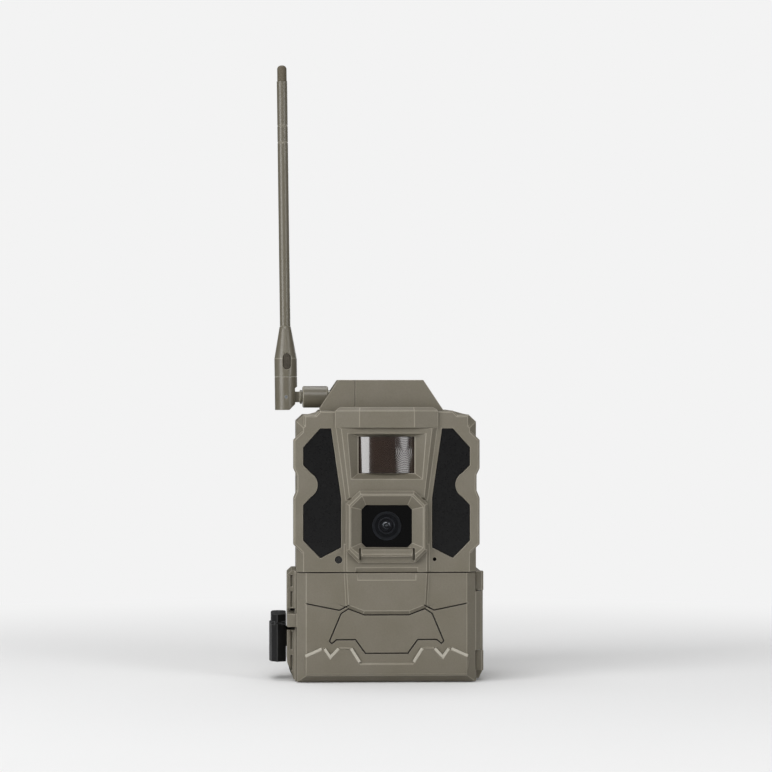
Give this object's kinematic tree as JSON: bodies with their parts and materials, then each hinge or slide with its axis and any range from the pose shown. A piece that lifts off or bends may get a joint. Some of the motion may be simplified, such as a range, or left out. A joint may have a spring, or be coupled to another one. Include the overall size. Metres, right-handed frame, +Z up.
{
  "type": "trail camera",
  "caption": "Cellular trail camera: rugged case with illuminator panels, motion sensor, hinged lower door, side latch, bottom battery tray and folding whip antenna.",
  "frame": {"origin": "middle of the flat base, on the surface that the camera stands on", "axes": "+Z up, the lens looks along -Y, +X to the right seen from the front"},
  "size_m": [0.0992, 0.0767, 0.2866],
  "materials": {
    "case_shell": "fine moulded texture",
    "door_trim": "satin",
    "illuminator": "satin black, passes infrared",
    "motion_lens": "tinted, finely ridged",
    "latch_grip": "moulded black",
    "seal_rubber": "moulded",
    "optic_glass": "coated",
    "barrel": "anti-reflection black",
    "steel": "turned",
    "brass": "turned",
    "board": "solder mask",
    "chip": "moulded epoxy",
    "cell": "printed sleeve",
    "tray_plastic": "moulded",
    "panel_plastic": "moulded",
    "key_rubber": "moulded",
    "screen": "glossy",
    "antenna_shell": "moulded",
    "antenna_tip": "moulded"
  },
  "bodies": {
    "case": {"rear_housing": "case_shell", "front_housing": "case_shell", "top_cover": "case_shell", "antenna_block": "case_shell", "housing_gasket": "seal_rubber", "hinge_pin": "steel", "latch_pin": "steel", "ir_panel_left": "illuminator", "ir_panel_right": "illuminator", "ir_boards": "board", "ir_leds": "chip", "motion_lens": "motion_lens", "motion_sensor": "steel", "lens_window": "optic_glass", "lens_barrel": "barrel", "lens_front_element": "optic_glass", "camera_module": "barrel", "light_sensor": "barrel", "microphone": "steel", "main_board": "board", "board_screws": "steel", "modem_module": "steel", "board_chips": "chip", "antenna_lead": "chip", "case_screws": "steel", "tripod_insert": "brass", "charging_jack": "barrel", "bay_contacts": "brass", "control_panel": "panel_plastic", "status_lights": "key_rubber", "screen_window": "screen", "screen_module": "chip", "control_board": "board", "key_switches": "steel", "card_socket": "steel", "antenna_jack": "brass"},
    "door": {"front_door": "case_shell", "door_trim": "door_trim", "door_gasket": "seal_rubber"},
    "latch": {"latch_lever": "latch_grip"},
    "charging_cover": {"port_cover": "seal_rubber"},
    "tray": {"battery_tray": "tray_plastic", "tray_seal": "seal_rubber", "aa_cells": "cell", "cell_contacts": "steel"},
    "tray_release": {"tray_release_key": "latch_grip"},
    "switch_knob": {"power_switch": "latch_grip"},
    "card": {"memory_card": "panel_plastic"},
    "coupling_nut": {"antenna_nut": "antenna_shell"},
    "antenna_base": {"antenna_stem": "antenna_shell"},
    "antenna_arm": {"antenna_pin": "steel", "antenna_knuckle": "antenna_shell", "antenna_sleeve": "antenna_shell", "antenna_whip": "antenna_shell", "antenna_tip": "antenna_tip"},
    "key_body_up": {"key_up": "key_rubber"},
    "key_body_down": {"key_down": "key_rubber"},
    "key_body_left": {"key_left": "key_rubber"},
    "key_body_right": {"key_right": "key_rubber"},
    "key_body_ok": {"key_ok": "key_rubber"}
  },
  "joints": [
    {"name": "door_hinge", "type": "hinge", "parent": "case", "child": "door", "pos_m": [0.0432, -0.019, 0.0282], "axis": [0, 0, 1], "range_deg": [0, 120]},
    {"name": "latch_swing", "type": "hinge", "parent": "case", "child": "latch", "pos_m": [-0.0495, 0.008, 0.0198], "axis": [0, 0, -1], "range_deg": [0, 100]},
    {"name": "charging_cover_hinge", "type": "hinge", "parent": "case", "child": "charging_cover", "pos_m": [0.0346, 0.0343, 0.022], "axis": [1, 0, 0], "range_deg": [0, 120]},
    {"name": "tray_slide", "type": "slide", "parent": "case", "child": "tray", "axis": [0, 0, 1], "range_m": [-0.062, 0]},
    {"name": "tray_release_press", "type": "slide", "parent": "case", "child": "tray_release", "axis": [0, 1, 0], "range_m": [0, 0.0006], "stiffness_N_per_m": 400, "springref_m": -0.0006},
    {"name": "power_switch_slide", "type": "slide", "parent": "case", "child": "switch_knob", "axis": [1, 0, 0], "range_m": [0, 0.005]},
    {"name": "card_eject", "type": "slide", "parent": "case", "child": "card", "axis": [0, -1, 0], "range_m": [0, 0.005]},
    {"name": "antenna_nut_spin", "type": "hinge", "parent": "case", "child": "coupling_nut", "pos_m": [-0.0324, -0.004, 0.1316], "axis": [1, 0, 0], "continuous": true},
    {"name": "antenna_swivel", "type": "hinge", "parent": "case", "child": "antenna_base", "pos_m": [-0.0395, -0.004, 0.1316], "axis": [1, 0, 0], "range_deg": [-90, 90]},
    {"name": "antenna_tilt", "type": "hinge", "parent": "antenna_base", "child": "antenna_arm", "pos_m": [-0.046, -0.004, 0.1316], "axis": [0, 1, 0], "range_deg": [-90, 0]},
    {"name": "key_up_press", "type": "slide", "parent": "case", "child": "key_body_up", "axis": [0, 1, 0], "range_m": [0, 0.0004], "stiffness_N_per_m": 400, "springref_m": -0.0006},
    {"name": "key_down_press", "type": "slide", "parent": "case", "child": "key_body_down", "axis": [0, 1, 0], "range_m": [0, 0.0004], "stiffness_N_per_m": 400, "springref_m": -0.0006},
    {"name": "key_left_press", "type": "slide", "parent": "case", "child": "key_body_left", "axis": [0, 1, 0], "range_m": [0, 0.0004], "stiffness_N_per_m": 400, "springref_m": -0.0006},
    {"name": "key_right_press", "type": "slide", "parent": "case", "child": "key_body_right", "axis": [0, 1, 0], "range_m": [0, 0.0004], "stiffness_N_per_m": 400, "springref_m": -0.0006},
    {"name": "key_ok_press", "type": "slide", "parent": "case", "child": "key_body_ok", "axis": [0, 1, 0], "range_m": [0, 0.0004], "stiffness_N_per_m": 400, "springref_m": -0.0006}
  ]
}
